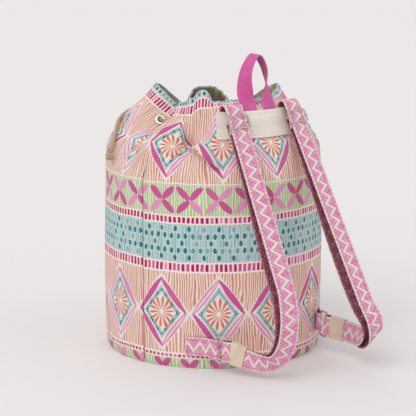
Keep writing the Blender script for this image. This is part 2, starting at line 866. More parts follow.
def make_return(side, word, path, faces, stations, slider_at):
    """The return run: from the ring up behind the outer run and round the slider's middle bar."""
    total = run_length(path)
    ends_at = total - slider_at
    begin_at = stations[TAIL_STEPS] + GAP
    later = stations[(stations > begin_at) & (stations < ends_at - SLIDER_NEAR)]
    marks = np.array([begin_at, *later, ends_at])
    near, near_faces = resampled(path, faces, total - marks)
    share = np.clip((marks - stations[PATCH_STEPS[1]]) / (ends_at - stations[PATCH_STEPS[1]]), 0, 1)
    radius = SLIDER_WIRE / 2 + GAP + STRAP_THICKNESS / 2
    top = slider_bar_depth() + radius
    layers = STRAP_THICKNESS + GAP
    slack = RETURN_SLACK * np.sin(math.pi * share**0.8) ** 2
    off = layers + (top - layers) * share + slack
    run = behind(near[::-1], near_faces[::-1], off[::-1])[::-1]
    along = unit(near[-2] - near[-1])
    out = near_faces[-1]
    bar = near[-1] - out * slider_bar_depth()
    wrap, wrap_faces = half_turn(bar, -out, -along, radius, 7)
    reach = np.linspace(SLIDER_NEAR, SLIDER_TAIL, 4)[:, None]
    sunk = np.clip((reach - TAIL_SINKS) / (SLIDER_TAIL - TAIL_SINKS), 0, 1)
    sink = (top - 2 * layers) * sunk
    end = bar + out * radius + along * reach - out * sink
    run_faces = [*(-near_faces), *wrap_faces[1:], *[out] * len(end)]
    ribbon(f"strap_return_{word}", [*run, *wrap[1:], *end], run_faces, STRAP_WIDTH, STRAP_THICKNESS)


def make_tab(side, word):
    """The tab that holds a ring: two layers sewn flat on the wall and a loop round the bar."""
    middle, to_tab, _, out = ring_frame(side)
    held = middle + to_tab * RING_LENGTH
    radius = RING_WIRE / 2 + TAB_LOOP_ROOM + TAB_THICKNESS / 2
    angle = math.degrees(math.atan2(held[0], -held[1]))
    sewn, inner_off, outer_off = TAB_ROOTS[side]
    level = held[2] * SHOULDER_HEIGHT / CREST[0][2]
    first = GAP + TAB_THICKNESS / 2
    second = first + TAB_THICKNESS + GAP

    def on_wall(leaves, layer):
        angles = angle + side * np.linspace(sewn, leaves, 4)
        faces = wall_normals(angles, [level])[0]
        lift = faces * np.array(TAB_LIFT)[:, None]
        return np.hstack([wall_points(angles, [level], -layer)[0] + lift, faces])

    under, over = on_wall(inner_off, first), on_wall(outer_off, second)
    under[:, 3:] *= -1
    wrap, wrap_faces = half_turn(held, -out, -to_tab, radius, 9)
    inner = smooth_through([*under, [*wrap[0], *wrap_faces[0]]], 2)[:-1]
    outer = smooth_through([[*wrap[-1], *wrap_faces[-1]], *over[::-1]], 2)[1:]
    path = [*inner[:, :3], *wrap, *outer[:, :3]]
    normals = [*inner[:, 3:], *wrap_faces, *outer[:, 3:]]
    ribbon(f"tab_{word}", path, normals, TAB_WIDTH, TAB_THICKNESS)


def cord_points(keys, shortest=0.0015, longest=0.013, bend=14.0):
    """A smooth line through keys: a point where the line has turned by so many degrees, no nearer
    to the last than the shortest step and no further than the longest."""
    fine = smooth_through(keys, 14)
    kept = [0]
    for i in range(1, len(fine) - 1):
        here, last = fine[i], fine[kept[-1]]
        first = unit(fine[kept[-1] + 1] - last)
        now = unit(fine[i + 1] - here)
        away = np.linalg.norm(here - last)
        turn = math.degrees(math.acos(min(1.0, float(first @ now))))
        if away > longest or (turn > bend and away > shortest):
            kept.append(i)
    if np.linalg.norm(fine[-1] - fine[kept[-1]]) < shortest:
        kept.pop()
    return fine[[*kept, len(fine) - 1]]


def through_eyelet(index, inwards, before, after):
    """Points of the cord through an eyelet, from where it comes along to where it goes on."""
    centre, out = EYELET_PLANES[index]
    centre = centre - out * cloth_stack() / 2
    face = -out if inwards else out
    flange = EYELET_CLEARANCE + EYELET_FLANGE_THICKNESS
    lift = cloth_stack() / 2 + flange + CORD_DIAMETER / 2 + 2 * GAP

    def aside(towards):
        flat = towards - centre
        return unit(flat - out * (flat @ out))

    points = []
    for towards, way in ((before, -1), (after, 1)):
        leaving = aside(towards)
        level = face * way
        half = [centre + level * lift * 0.45, centre + level * lift * 0.92 + leaving * 0.0022]
        half += [centre + level * (lift + 0.0006) + leaving * 0.0075]
        points.append(half if way == 1 else half[::-1])
    return [*points[0], *points[1]]


def make_drawstring():
    """The cord through the eyelets: outside across each fold, inside across each lobe."""
    inside = cloth_stack() + CORD_DIAMETER / 2 + CORD_INSIDE_ROOM
    centres = [centre for centre, _ in EYELET_PLANES]
    keys = [centres[5] + EYELET_PLANES[5][1] * EYELET_END]
    for i, index in enumerate(EYELET_ORDER):
        last, following = EYELET_ORDER[i - 1], EYELET_ORDER[(i + 1) % EYELET_COUNT]
        lane, onward = INSIDE_LANES.get((last, index)), INSIDE_LANES.get((index, following))
        before, after = centres[last], centres[following]
        if lane:
            before = wall_points([lane[-1]], [EYELET_HEIGHT], inside)[0, 0]
        if onward:
            after = wall_points([onward[0]], [EYELET_HEIGHT], inside)[0, 0]
        passage = through_eyelet(index, i % 2 == 0, before, after)
        # The cord begins and ends in an eyelet's hole
        keys += passage[2 if i == 0 else 0 : -2 if i == EYELET_COUNT - 1 else None]
        if onward:
            keys += list(wall_points(onward, [EYELET_HEIGHT - 0.004], inside)[0])
    keys.append(centres[4] + EYELET_PLANES[4][1] * EYELET_END)
    return keys


# ---------------------------------------------------------------- the wall

# Creases in the cloth, the first two beside the neck: two ends in degrees and metres up the cloth,
# how far the cloth stands out on the left of the way between them and on the right, how far the
# left laps over, and how far the crease reaches
CREASES = (
    ((-57.0, 0.345), (-45.0, 0.304), -0.0055, 0.0075, 0.0040, 0.012),
    ((-48.0, 0.306), (-31.0, 0.2760), 0.0085, -0.0045, 0.0050, 0.014),
    ((-75.0, 0.330), (-70.0, 0.262), 0.0000, -0.0025, 0.0000, 0.010),
    ((-66.0, 0.300), (-57.0, 0.262), 0.0010, -0.0014, 0.0000, 0.012),
    ((-34.0, 0.315), (-20.0, 0.286), 0.0012, -0.0016, 0.0000, 0.010),
    ((34.0, 0.330), (44.0, 0.268), 0.0012, -0.0030, 0.0000, 0.012),
    ((-118.0, 0.335), (-106.0, 0.275), 0.0008, -0.0016, 0.0000, 0.012),
    ((75.0, 0.330), (68.0, 0.262), 0.0012, -0.0018, 0.0000, 0.012),
    ((140.0, 0.330), (128.0, 0.262), 0.0010, -0.0018, 0.0000, 0.013),
    ((182.0, 0.330), (190.0, 0.262), 0.0010, -0.0018, 0.0000, 0.013),
    ((205.0, 0.330), (213.0, 0.262), 0.0010, -0.0018, 0.0000, 0.013),
)
# A degree of the mouth in metres, and half the widths of a crease's sharp edge and its core
CREASE_DEGREE = 0.0019
CREASE_EDGE = 0.0012
CREASE_CORE = 0.0008
# Heights of the fine wall's rows
FINE_BODY = np.concatenate([[0, 0.003, 0.006, 0.010, 0.014], np.linspace(0.020, 0.250, 34)])
FINE_MOUTH = np.linspace(0.2555, 0.3872, 82)
# Side seams: the groove's depth and width, the height, width and place of the ridge beside it, and
# how much the stitches pucker both
SEAM_GROOVE = (0.0026, 0.0019)
SEAM_RIDGE = (0.0006, 0.0020, 0.0040)
SEAM_PUCKER = 0.35
# Radii of the base's rings, inside its edge
BASE_RINGS = (0.0002, 0.02, 0.04, 0.06, 0.08, 0.1, 0.12, 0.135, 0.142)
# Wrinkles, from the widest to the narrowest: how many round, how far on, and how many up
WRINKLES = ((2.2, (0, 0), 7), (9.0, (4, 0), 11), (15.0, (9, 0), 6), (30.0, (2, 7), 14))
# The lining's lowest row, where its rows close up, and how far it ends below the rim
LINING_LOW = 0.0045
LINING_MOUTH = 0.25
LINING_DROP = 0.0008
# How far along its direction a hole goes
HOLE_REACH = 0.006
# The rim's hem: its depth, its thickness, and half the width of its step
HEM_DROP = 0.0095
HEM_LIFT = 0.0005
HEM_STEP = 0.0008


def grid_normals(points, closed_round):
    """Outward normals of a grid of points."""
    if closed_round:
        across = np.roll(points, -1, axis=1) - np.roll(points, 1, axis=1)
    else:
        across = np.gradient(points, axis=1)
    up = np.gradient(points, axis=0)
    return unit(np.cross(across, up))


def grid_faces(rows, cols, closed_round, start=0, flip=False):
    last = cols if closed_round else cols - 1
    i, j = np.meshgrid(np.arange(rows - 1) * cols, np.arange(last), indexing="ij")
    k = (j + 1) % cols
    quads = np.stack([i + j, i + k, i + cols + k, i + cols + j], -1).reshape(-1, 4)
    return (quads[:, ::-1] if flip else quads) + start


def closing_faces(line, behind):
    """Faces that join a line of points to the same line on a sheet's other side."""
    return [(b, a, a + behind, b + behind) for a, b in zip(line, line[1:])]


def slab(name, outer, inner, uv, closed_round=False, holes=()):
    """A sheet between two grids of points, closed at its edges, with a uv place for each point.
    holes are centre, direction and radius: faces inside them are left out."""
    rows, cols = outer.shape[:2]
    points = np.concatenate([outer.reshape(-1, 3), inner.reshape(-1, 3)])
    behind = rows * cols
    faces = np.concatenate(
        [grid_faces(rows, cols, closed_round), grid_faces(rows, cols, closed_round, behind, True)]
    )
    middles = points[faces].mean(axis=1)
    for centre, out, radius in holes:
        off = middles - centre
        along = off @ out
        aside = np.linalg.norm(off - along[:, None] * out, axis=1)
        keep = (aside > radius) | (np.abs(along) > HOLE_REACH)
        faces, middles = faces[keep], middles[keep]
    faces = faces.tolist()
    row = np.arange(cols + closed_round) % cols
    lines = [row, (row + (rows - 1) * cols)[::-1]]
    if not closed_round:
        column = np.arange(rows) * cols
        lines += [column[::-1], column + cols - 1]
    for line in lines:
        faces += closing_faces(line.tolist(), behind)
    flat = np.asarray(uv).reshape(-1, 2)
    return mesh_object(name, points, faces, np.concatenate([flat, flat]))


def smooth_step(value, low, high):
    share = np.clip((value - low) / (high - low), 0, 1)
    return share * share * (3 - 2 * share)


def bell(value, height, width, middle=0.0):
    return height * np.exp(-(((value - middle) / width) ** 2))


def creased(points, normals, angles, heights):
    """The wall with its creases pressed in."""
    across, up = np.meshgrid(angles, heights)
    sideways = unit(np.gradient(points, axis=1))
    upwards = unit(np.gradient(points, axis=0))
    moved = points.copy()
    for (a0, h0), (a1, h1), out_left, out_right, lap, reach in CREASES:
        start, end = np.array([a0 * CREASE_DEGREE, h0]), np.array([a1 * CREASE_DEGREE, h1])
        way = (end - start) / np.linalg.norm(end - start)
        left = np.array([-way[1], way[0]])
        if left[0] < 0:
            left = -left
        place = np.stack([((across + 180) % 360 - 180) * CREASE_DEGREE, up], -1) - start
        along = place @ way / np.linalg.norm(end - start)
        aside = place @ left
        near = smooth_step(along, -0.15, 0.15) * (1 - smooth_step(along, 0.85, 1.15))
        side = np.clip(aside / CREASE_EDGE, -1, 1)
        fall = np.exp(-np.maximum(np.abs(aside) - CREASE_CORE, 0) / reach) * near
        out = np.where(side > 0, out_left * side, -out_right * side) * fall
        over = -lap * smooth_step(side, 0.0, 1.0) * np.exp(-np.abs(aside) / (reach * 0.5)) * near
        lapped = sideways * left[0] + upwards * left[1]
        moved += normals * out[..., None] + lapped * over[..., None]
    return moved


def wrinkles(angles, heights):
    """How far the cloth stands out at each grid point: soft dents in the wall and gathers above."""
    found = np.zeros((len(heights), len(angles)))
    for i, height in enumerate(heights):
        high = float(np.clip((height - 0.235) / 0.05, 0, 1))
        edge = float(np.clip(height / 0.03, 0, 1))
        for j, angle in enumerate(angles):
            turn = math.radians(angle)
            ring = Vector((math.cos(turn), math.sin(turn), 0))
            soft, fine, pleat, narrow = (
                noise.noise(ring * wide + Vector((*shift, height * tall)))
                for wide, shift, tall in WRINKLES
            )
            body = edge * (0.0018 * soft + 0.0007 * fine)
            found[i, j] = body + high * (0.0011 * fine + 0.0013 * pleat + 0.0005 * narrow)
    return found


def quiet_places(points, angles, heights):
    """1 where the cloth is free to wrinkle, and 0 beside the eyelets and under the yoke."""
    free = np.ones(points.shape[:2])
    for centre, _ in EYELET_PLANES:
        away = np.linalg.norm(points - centre, axis=-1)
        free *= smooth_step(away, 0.010, 0.019)
    around = (np.asarray(angles) + 180) % 360 - 180
    beside = smooth_step(np.abs(around), 27.0, 33.0)[None]
    up = np.asarray(heights)[:, None]
    low = 1 - smooth_step(up, YOKE_BOTTOM - 0.012, YOKE_BOTTOM)
    high = smooth_step(up, YOKE_TOP, YOKE_TOP + 0.012)
    return free * np.maximum(np.maximum(beside, low), high)


def make_wall():
    """The printed canvas in its two panels, and the lining behind them."""
    heights = np.concatenate([FINE_BODY, FINE_MOUTH, [RIM_HEIGHT]])
    # Finer on the photo's side
    around = np.concatenate([np.arange(-100.0, 0.0, 0.5), np.arange(0.0, 260.0, 1.0)])
    smooth = outer_face(around, heights)
    free = quiet_places(smooth, around, heights)
    normals = grid_normals(smooth, True)
    outer = creased(smooth, normals, around, heights)
    outer = smooth + (outer - smooth) * free[..., None]
    outer += normals * (wrinkles(around, heights) * free)[..., None]
    for seam in (-SEAM_ANGLE, SEAM_ANGLE):
        aside = np.abs((around - seam + 180) % 360 - 180) * math.radians(BODY_RADIUS)
        groove = bell(aside, *SEAM_GROOVE) - bell(aside, *SEAM_RIDGE)
        pucker = 1 + SEAM_PUCKER * np.sin(heights * 900)[:, None]
        outer -= normals * (groove[None] * pucker * free)[..., None]
    begins = RIM_HEIGHT - HEM_DROP
    hem = HEM_LIFT * smooth_step(heights, begins - HEM_STEP, begins + HEM_STEP)
    outer += normals * hem[:, None, None]
    outer[..., 2] = np.maximum(outer[..., 2], 0.0)
    normals = grid_normals(outer, True)
    inner = outer - normals * CANVAS_THICKNESS
    inner[..., 2] = np.maximum(inner[..., 2], 0.0)
    print_material = canvas_print()
    metres = math.radians(BODY_RADIUS)
    order = np.argsort((around - 180) % 360, kind="stable")
    turned_angles = (around[order] - 180) % 360 - 180
    spots = [(c - o * cloth_stack() / 2, o, EYELET_CUT) for c, o in EYELET_PLANES]
    lapped = np.concatenate([turned_angles, turned_angles + 360])
    seams = (-SEAM_ANGLE, SEAM_ANGLE, 360 - SEAM_ANGLE)
    for name, first, last in zip(("back_panel", "front_panel"), seams, seams[1:]):
        picked = np.flatnonzero((lapped >= first - 1e-6) & (lapped <= last + 1e-6))
        take = order[picked % len(order)]
        angles = lapped[picked]
        uv = cloth_places(angles * metres, heights)
        piece = slab(f"{name}_cloth", outer[:, take], inner[:, take], uv, holes=spots)
        dress(piece, print_material, "printed_canvas", name)
    body = np.flatnonzero((heights > LINING_LOW) & (heights < LINING_MOUTH))[::4]
    mouth = np.flatnonzero((heights >= LINING_MOUTH) & (heights < RIM_HEIGHT - LINING_DROP))
    rows = np.concatenate([body, mouth])
    depth = CANVAS_THICKNESS + GAP
    face = (outer - normals * depth)[rows]
    back = (outer - normals * (depth + LINING_THICKNESS))[rows]
    uv = cloth_places(around * metres, heights[rows])
    lining = slab("lining_cloth", face, back, uv, closed_round=True, holes=spots)
    dress(lining, plain_cloth("lining_linen", *LINEN), "lining_cloth", "lining")


def make_base_cloth():
    """The round base outside and its lining inside, softly uneven."""
    inside = BODY_RADIUS - BOTTOM_TURN - CANVAS_THICKNESS - 2 * GAP
    low = BASE_THICKNESS + GAP
    high = low + BASE_LINING_THICKNESS
    made = (
        ("base_panel", inside, (0.0, BASE_THICKNESS), (0.0003, 0), "base_canvas", BASE_CLOTH),
        ("base_lining", inside - GAP, (low, high), (0, 0.0004), "lining_cloth", LINEN),
    )
    for name, radius, (bottom, top), (under, above), slot, shades in made:
        rings = np.array([*BASE_RINGS, radius])
        turn = np.radians(np.arange(0, 360, 4.0))
        flat = np.stack([np.outer(rings, np.sin(turn)), -np.outer(rings, np.cos(turn))], -1)
        dent = np.array(
            [[noise.noise(Vector((x * 30, y * 30, bottom * 90))) for x, y in row] for row in flat]
        )
        edge = np.clip((radius - rings) / 0.01, 0, 1)[:, None]
        height = top + dent * above * edge
        floor = bottom + np.abs(dent) * under * edge
        upper = np.concatenate([flat, height[..., None]], -1)
        lower = np.concatenate([flat, floor[..., None]], -1)
        piece = slab(f"{name}_cloth", upper[::-1], lower[::-1], flat[::-1], closed_round=True)
        dress(piece, plain_cloth(f"{name}_weave", *shades), slot, name)


# ---------------------------------------------------------------- webbing


def finer(rows, longest):
    """Rows of places and directions: a smooth curve through them with no step over that length."""
    rows = np.asarray(rows, float)
    steps = np.linalg.norm(np.diff(rows[:, :3], axis=0), axis=1)
    keep = np.concatenate([[True], steps > SHORTEST_STEP])
    keep[-1] = True
    rows = rows[keep]
    steps = np.linalg.norm(np.diff(rows[:, :3], axis=0), axis=1)
    slope = np.gradient(rows, lengths(rows[:, :3]), axis=0)
    found = []
    for i, step in enumerate(steps):
        count = max(1, math.ceil(step / longest))
        for t in np.arange(count) / count:
            found.append(
                (2 * t**3 - 3 * t**2 + 1) * rows[i]
                + (t**3 - 2 * t**2 + t) * step * slope[i]
                + (3 * t**2 - 2 * t**3) * rows[i + 1]
                + (t**3 - t**2) * step * slope[i + 1]
            )
    return np.array([*found, rows[-1]])


def webbing(name, path, normals, width, thickness):
    """A woven strip along a path. Its front and back are two sheets that meet in its rounded
    edges. uv is the place across and along it in metres, and 1 m further across on the back."""
    rows = finer(np.hstack([np.asarray(path, float), unit(normals)]), WEBBING_STEP)
    path, across, out = strip_frames(rows[:, :3], rows[:, 3:])
    length = lengths(path)
    flat = np.linspace(-1, 1, 11) * (1 - thickness / width)
    half = thickness / 2
    profile = [(-width / 2, 0.0), (-width / 2 + 0.3 * half, 0.7 * half)]
    profile += [(x * width / 2, half) for x in flat]
    profile += [(width / 2 - 0.3 * half, 0.7 * half), (width / 2, 0.0)]
    profile = np.array(profile)
    stir = [noise.noise(Vector((v * 38, 3.0, 1.0))) for v in length]
    edge_stir = [noise.noise(Vector((v * 150, 8.0, 2.0))) for v in length]
    points, faces, uv = [], [], []
    for side in (1, -1):
        base = len(points)
        for i, place in enumerate(path):
            for x, z in profile:
                wide = x * (1 + 0.006 * edge_stir[i])
                cup = 0.00018 * stir[i] * (1 - (2 * x / width) ** 2)
                points.append(place + across[i] * wide + out[i] * (z * side + cup))
                uv.append((x + (0 if side == 1 else 1.0), length[i]))
        faces += grid_faces(len(path), len(profile), False, base, side == -1).tolist()
    row, behind = len(profile), len(path) * len(profile)
    for line in (range(row), range(behind - 1, behind - 1 - row, -1)):
        faces += closing_faces(line, behind)
    return mesh_object(name, points, faces, uv, sharp=60.0)


def dress(piece, made, slot, *nodes):
    give(piece, made)
    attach(piece, "bag")
    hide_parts(*nodes)


def ribbon(name, path, normals, width, thickness):
    """One strip of webbing in place of its plain solid."""
    slot, made = ("handle_webbing", "handle") if name == "top_handle" else ("strap_webbing", "strap")
    piece = webbing(f"{name}_webbing", path, normals, width, thickness)
    dress(piece, MATERIALS[made], slot, name)
    if name.startswith("strap_return"):
        word = name[13:]
        side = LEFT if word == "left" else RIGHT
        # It shortens towards its ring as the slider comes down
        along = strap_run(side)[3]
        reach = np.array([v.co for v in piece.data.vertices]) @ along
        middle = ring_frame(side)[0]
        keep = 1 - SLIDE_RANGES[side] / (float(middle @ along) - reach.min() - SQUASH_ROOM)
        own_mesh(piece)


def sleeve(name, path, across, out, width, heights, wall):
    """A flat tube of cotton round a strip, with rounded edges, in place of its plain solid."""
    rows = np.hstack([path, across, out, np.asarray(heights, float)[:, None]])
    rows = finer(rows, SLEEVE_STEP)
    path, across, out = rows[:, :3], unit(rows[:, 3:6]), unit(rows[:, 6:9])
    heights = rows[:, 9]
    length = lengths(path)
    hem = bell(np.minimum(length, length[-1] - length), 0.0002, 0.0012)

    def loop(w, h, i):
        corner = min(0.0012, h / 2 * 0.9)
        found = []
        for sx, sy, first in ((1, 1, 0), (-1, 1, 90), (-1, -1, 180), (1, -1, 270)):
            for turn in np.radians(np.linspace(first, first + 90, 4)):
                x = sx * (w / 2 - corner) + corner * math.cos(turn)
                y = sy * (h / 2 - corner) + corner * math.sin(turn)
                found.append(path[i] + across[i] * x + out[i] * y)
            if sx * sy > 0:
                steps = np.linspace(1, -1, 9)[1:-1] * sx
                for share in steps:
                    x = share * (w / 2 - corner)
                    bump = 0.0002 * noise.noise(Vector((x * 200, length[i] * 200, 5.0 * sy)))
                    found.append(path[i] + across[i] * x + out[i] * (sy * h / 2 + bump))
        return found

    outer = np.array([loop(width + 2 * hem[i], h + 2 * hem[i], i) for i, h in enumerate(heights)])
    inner = np.array([loop(width - 2 * wall, h - 2 * wall, i) for i, h in enumerate(heights)])
    uv = cloth_places(lengths(outer[0]), length)
    piece = slab(f"{name}_cotton", outer, inner, uv, closed_round=True)
    dress(piece, MATERIALS["patch"], "cream_canvas", name)


def make_yoke_cloth():
    """The cream patch under the mouth: hemmed edges, and full where the strap ends lie under it."""
    half = YOKE_WIDTH / 2
    angles = np.linspace(angle_at(-half, YOKE_TOP), angle_at(half, YOKE_TOP), 91)
    heights = np.linspace(YOKE_BOTTOM, YOKE_TOP, 41)
    share = np.clip((heights - YOKE_TOP + TUCK_DEPTH + YOKE_RISE) / YOKE_RISE, 0, 1)
    stand = YOKE_REST + (YOKE_STAND_OFF - YOKE_REST) * share
    outer = wall_points(angles, heights, -(stand + YOKE_THICKNESS))
    inner = wall_points(angles, heights, -stand)
    normals = unit(outer - inner)
    across = np.linspace(-half, half, len(angles))
    from_edge = np.minimum.outer(
        np.minimum(heights - YOKE_BOTTOM, YOKE_TOP - heights), half - np.abs(across)
    )
    hem = HEM_LIFT * (1 - smooth_step(from_edge, *YOKE_HEM_STEP))
    # The row of stitches pulls the cloth in
    dimple = bell(from_edge, 0.0004, 0.0008, YOKE_STITCHES)
    stir = np.array([[noise.noise(Vector((x * 60, h * 50, 3.0))) for x in across] for h in heights])
    full = sum(bell(across, 0.0004, 0.012, place) for place in YOKE_FULL)
    lift = hem - dimple + stir * 0.0005 + full[None] * share[:, None]
    outer = outer + normals * lift[..., None]
    piece = slab("yoke_cloth", outer, inner, cloth_places(across, heights))
    dress(piece, MATERIALS["yoke"], "cream_canvas", "yoke_patch")


def braided(name, points, diameter):
    """A round cord of twisted strands, and the line that it follows."""
    rows = finer(np.hstack([np.asarray(points, float)] * 2), CORD_STEP)
    line = rows[:, :3]
    tangents = unit(np.gradient(line, axis=0))
    length = lengths(line)
    side = unit(np.cross(tangents[0], (0.3, 0.2, 1.0)))
    turn = np.linspace(0, 2 * math.pi, CORD_SIDES, endpoint=False)
    grid = []
    for i, place in enumerate(line):
        side = unit(side - tangents[i] * (side @ tangents[i]))
        other = np.cross(tangents[i], side)
        twist = turn * CORD_STRANDS - length[i] * CORD_TWIST
        cross = turn * CORD_STRANDS + length[i] * CORD_TWIST
        ridge = np.maximum(np.cos(twist), np.cos(cross))
        radius = diameter / 2 * (1 - CORD_RIDGE + CORD_RIDGE * ridge)
        away = np.cos(turn)[:, None] * side + np.sin(turn)[:, None] * other
        grid.append(place + radius[:, None] * away)
    grid = np.array(grid)
    uv = cloth_places(turn * diameter / 2, length).reshape(-1, 2)
    faces = grid_faces(len(line), CORD_SIDES, True).tolist()
    faces.append(tuple(range(CORD_SIDES))[::-1])
    faces.append(tuple((len(line) - 1) * CORD_SIDES + j for j in range(CORD_SIDES)))
    return mesh_object(name, grid.reshape(-1, 3), faces, uv, sharp=60.0), line


def tied_knot(name, centre, along):
    """An overhand knot pulled tight, about as big as its ball."""
    turn = np.linspace(0, 2 * math.pi, 73)
    wide = KNOT_DIAMETER / 2 - CORD_DIAMETER * KNOT_TIGHT / 2
    radius = wide * (2 + np.cos(3 * turn)) / 3
    rise = -np.sin(3 * turn) * wide * 0.62
    flat = np.stack([radius * np.cos(2 * turn), radius * np.sin(2 * turn), rise], -1)
    frame_way = Vector(along).to_track_quat("Z", "Y").to_matrix()
    points = flat @ np.array(frame_way).T + centre
    return braided(name, points, CORD_DIAMETER * KNOT_TIGHT)[0]


def make_cords():
    """The drawstring through the eyelets, its two free ends and their knots."""
    cotton = MATERIALS["cord"]
    threaded = cord_points(make_drawstring())
    piece = braided("drawstring_cord", threaded, CORD_DIAMETER)[0]
    dress(piece, cotton, "cord", "drawstring")
    for side, word, index in ((LEFT, "left", 5), (RIGHT, "right", 4)):
        centre, out = EYELET_PLANES[index]
        lane = [wall_points([a], [h], -off)[0, 0] for a, h, off in END_LANES[side]]
        knot = lane.pop()
        aside = lane[0] - centre
        aside = unit(aside - out * (aside @ out))
        start = centre + out * (EYELET_END + GAP)
        lead = [start + out * off + aside * away for off, away in CORD_LEAD]
        along = unit(knot - lane[-1])
        lane[-1] = knot - along * (KNOT_DIAMETER / 2 + GAP)
        whole = cord_points([*lead, *lane])
        piece, line = braided(f"drawstring_{word}_cord", whole, CORD_DIAMETER)
        dress(piece, cotton, "cord", f"drawstring_end_{word}")
        ball = tied_knot(f"drawstring_{word}_knot", knot, along)
        dress(ball, cotton, "cord", f"drawstring_knot_{word}")


# ---------------------------------------------------------------- cloth and metal

# Step of the loom that wove the straps' pattern, and the two shades of plain cloth
LOOM_STEP = 0.85
LINEN = ("#E2D2B6", "#C6B08C")
BASE_CLOTH = ("#DDB9A8", "#CFA391")


def weave(x, y, pitch):
    """Height of a plain weave with that pitch, from 0 to 1."""
    k = 2 * math.pi / pitch
    return (x * k).sine() * (y * k).sine() * 0.5 + 0.5


def plain_cloth(name, light, dark):
    """Plain woven cloth in two close colours, placed by the object's own space."""
    paint = Paint(name, 0.92, 0.1)
    x, y, z = paint.place()
    patch = paint.noise(x, y, z, scale=0.06, detail=4.0)
    slub = paint.noise(x + y, z * 8.0, scale=0.5, detail=3.0)
    thread = weave(x + y, z, 0.9)
    shade = patch * 0.7 + thread * 0.22 + slub * 0.35
    paint.colour = paint.blend(dark, light, shade.over(0.62, 0.55))
    return paint.done(thread + slub * 0.6, 0.00012)


def yoke_canvas():
    """Cream canvas with upright ribs and a row of stitches inside its edge."""
    paint = Paint("yoke_canvas", 0.92, 0.1)
    x, y = paint.uv()
    rough = paint.noise(x, y, 2.0, scale=0.5, detail=3.0) - 0.5
    patch = paint.noise(x, y, 4.0, scale=0.06, detail=3.0)
    ribs = (x + rough * 0.4).wave(1.1)
    paint.colour = paint.blend("#E2D5C8", "#F1E8DF", (ribs * 0.35 + patch * 0.9).over(0.55, 0.7))
    half_x, low, high = YOKE_WIDTH * 500, YOKE_BOTTOM * 1000, YOKE_TOP * 1000
    edge_x = half_x - x.size()
    edge_y = ((high - low) / 2) - (y - (high + low) / 2).size()
    edge = edge_x.least(edge_y)
    place = (x + y).cell(3.2)[1]
    from_row = (edge - YOKE_STITCHES * 1000).size()
    stitch = from_row.under(0.42, 0.25) * place.size().under(1.15, 0.3)
    paint.over("#FBF6EE", stitch)
    hole = from_row.under(0.5, 0.25) * place.size().over(1.25, 0.2)
    paint.over("#B7A592", hole * 0.6)
    return paint.done(ribs * 0.5 + stitch * 1.4 - hole * 0.8 + rough * 0.4, 0.00022)


def handle_webbing():
    """Pink twill tape: fine slanting ribs, a tighter edge, and a softer worn sheen."""
    paint = Paint("handle_webbing", 0.8, 0.25)
    x, y = paint.uv()
    rough = paint.noise(x, y, 3.0, scale=0.9, detail=3.0) - 0.5
    patch = paint.noise(x, y, 6.0, scale=0.08, detail=2.0)
    inside = x.over(500.0, 1.0)
    x = x - inside * 1000.0
    rib, fine = (x * 0.8 + y).wave(1.3), y.wave(0.62)
    shade = rib * 0.4 + patch * 0.7 + rough * 0.5
    paint.colour = paint.blend("#BE3F86", "#E06CAE", shade.over(0.5, 0.7))
    paint.over("#A93374", inside * 0.35)
    edge = x.size().over(HANDLE_WIDTH * 500 - 1.2, 0.5)
    paint.over("#EC8AC0", edge * 0.35)
    return paint.done(rib * 0.7 + fine * 0.3 + rough * 0.3, 0.00022)


def strap_webbing():
    """Patterned webbing: a cream zigzag between pink triangles, with a dark reverse behind."""
    paint = Paint("strap_webbing", 0.85, 0.15)
    raw_x, raw_y = paint.uv()
    behind_it = raw_x.over(500.0, 1.0)
    x = raw_x - behind_it * 1000.0
    # Woven in small steps, as the pattern of a band loom is
    sx, sy = x - x.cell(LOOM_STEP)[1], raw_y - raw_y.cell(LOOM_STEP)[1]
    saw = sy.there_and_back(17.0) * 4.0 - 1.0
    line = (sx - saw * 6.0).size()
    cream_line = line.under(3.1, 0.25)
    teeth = sy.there_and_back(5.667) * 5.0
    beside = (sx.size() - teeth).over(10.2, 0.25)
    crumbs = (line - 8.2).size().under(0.9, 0.2)
    loose = paint.chance(sx, sy)
    specks = loose.over(0.90, 0.02)
    stair = cream_line.most(beside * loose.over(0.16, 0.05)).most(crumbs * loose.over(0.5, 0.05))
    light = stair.most(specks * 0.7)
    patch = paint.noise(x, raw_y, 1.0, scale=0.09, detail=2.0)
    rough = paint.noise(raw_x, raw_y, 5.0, scale=1.2, detail=2.0) - 0.5
    pink = paint.blend("#E672AF", "#EF90C0", (patch + rough * 0.5).over(0.5, 0.4))
    cream = paint.blend("#F4EFE4", "#E9E0D0", (loose * 0.6 + rough).over(0.4, 0.5))
    front = paint.blend(pink, cream, light)
    dark = paint.blend("#8E1550", "#B02A6C", (patch + rough).over(0.5, 0.5))
    rear = paint.blend(dark, "#D9CDB4", (stair * 0.35 + specks * 0.5).least(1.0))
    dark_bits = paint.chance(sx + 40.0, sy)
    rear = paint.blend(rear, "#4B3A2E", dark_bits.over(0.80, 0.05) * 0.75)
    paint.colour = paint.blend(front, rear, behind_it)
    knit = weave(x, raw_y, LOOM_STEP)
    return paint.done(knit + light * 0.3 + rough * 0.3, 0.00028)


def cord_cotton():
    paint = Paint("cord_cotton", 0.9, 0.1)
    x, y = paint.uv()
    strand = (x * (2 * math.pi / 1.96) - y * 1.5).sine() * 0.5 + 0.5
    rough = paint.noise(x, y, 2.0, scale=1.1, detail=3.0)
    paint.colour = paint.blend("#9C8262", "#C9B698", (strand * 0.5 + rough * 0.6).over(0.5, 0.6))
    return paint.done(strand + rough * 0.5, 0.0002)


